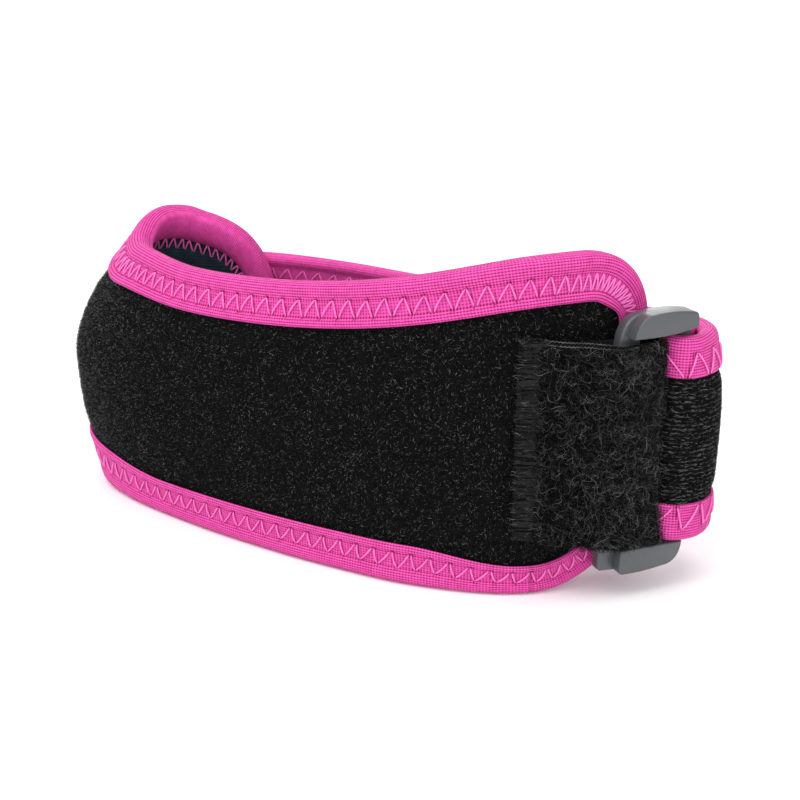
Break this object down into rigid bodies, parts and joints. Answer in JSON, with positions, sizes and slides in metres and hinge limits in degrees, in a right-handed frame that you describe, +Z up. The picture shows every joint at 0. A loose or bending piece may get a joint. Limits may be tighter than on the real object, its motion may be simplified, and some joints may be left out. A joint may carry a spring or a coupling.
{
  "type": "patellar strap",
  "caption": "Padded knee band with a pile face and knitted edge binding, closed into a loop by a tape tab through a plastic ring.",
  "frame": {"origin": "middle of the strap's bounding box in plan, on the surface that its lower edge stands on", "axes": "+X along the strap towards the ring, -Y out through the padded front, +Z up along the leg"},
  "size_m": [0.175, 0.0611, 0.078],
  "materials": {
    "pile": "black short loop pile over foam, matte with a faint grey sheen",
    "knit": "bright pink fine ribbed elastic knit with zigzag stitching",
    "tape": "black long curly pile tape, matte",
    "plastic": "satin grey moulded plastic"
  },
  "bodies": {
    "root": {"front_panel": "pile", "panel_binding": "knit", "back_strap": "pile", "strap_binding_top": "knit", "strap_binding_bottom": "knit", "ring_buckle": "plastic", "hook_tab": "tape"}
  },
  "joints": []
}
